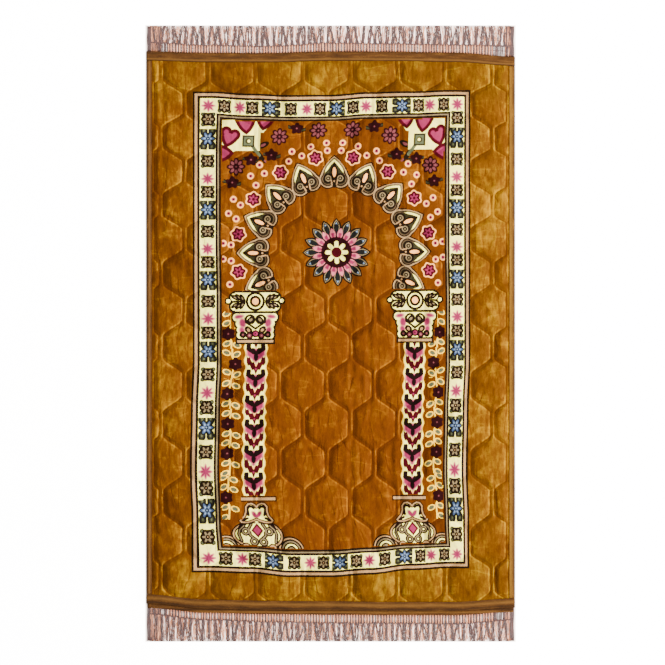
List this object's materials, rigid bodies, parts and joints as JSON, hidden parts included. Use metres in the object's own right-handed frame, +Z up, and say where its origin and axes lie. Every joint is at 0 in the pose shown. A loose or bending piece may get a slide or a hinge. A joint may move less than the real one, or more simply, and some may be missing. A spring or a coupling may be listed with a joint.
{
  "type": "quilted prayer rug",
  "caption": "Quilted plush prayer rug lying flat, with rounded stitched cells, tape binding on all four edges and a yarn fringe at each short end.",
  "frame": {"origin": "on the floor, under the middle of the rug's box", "axes": "+Y points to the head end, where the niche's arch is; +X to the right seen from above with the head up; +Z up out of the pile"},
  "size_m": [0.8, 1.337, 0.0119],
  "materials": {
    "plush": "short golden-mustard velvet pile with a printed niche design",
    "tape": "brown knitted binding tape",
    "yarn": "loose reddish-brown fringe yarn"
  },
  "bodies": {
    "root": {"quilted_mat": "plush", "side_tape_left": "tape", "side_tape_right": "tape", "end_tape_head": "tape", "end_tape_foot": "tape", "fringe_head": "yarn", "fringe_foot": "yarn"}
  },
  "joints": []
}
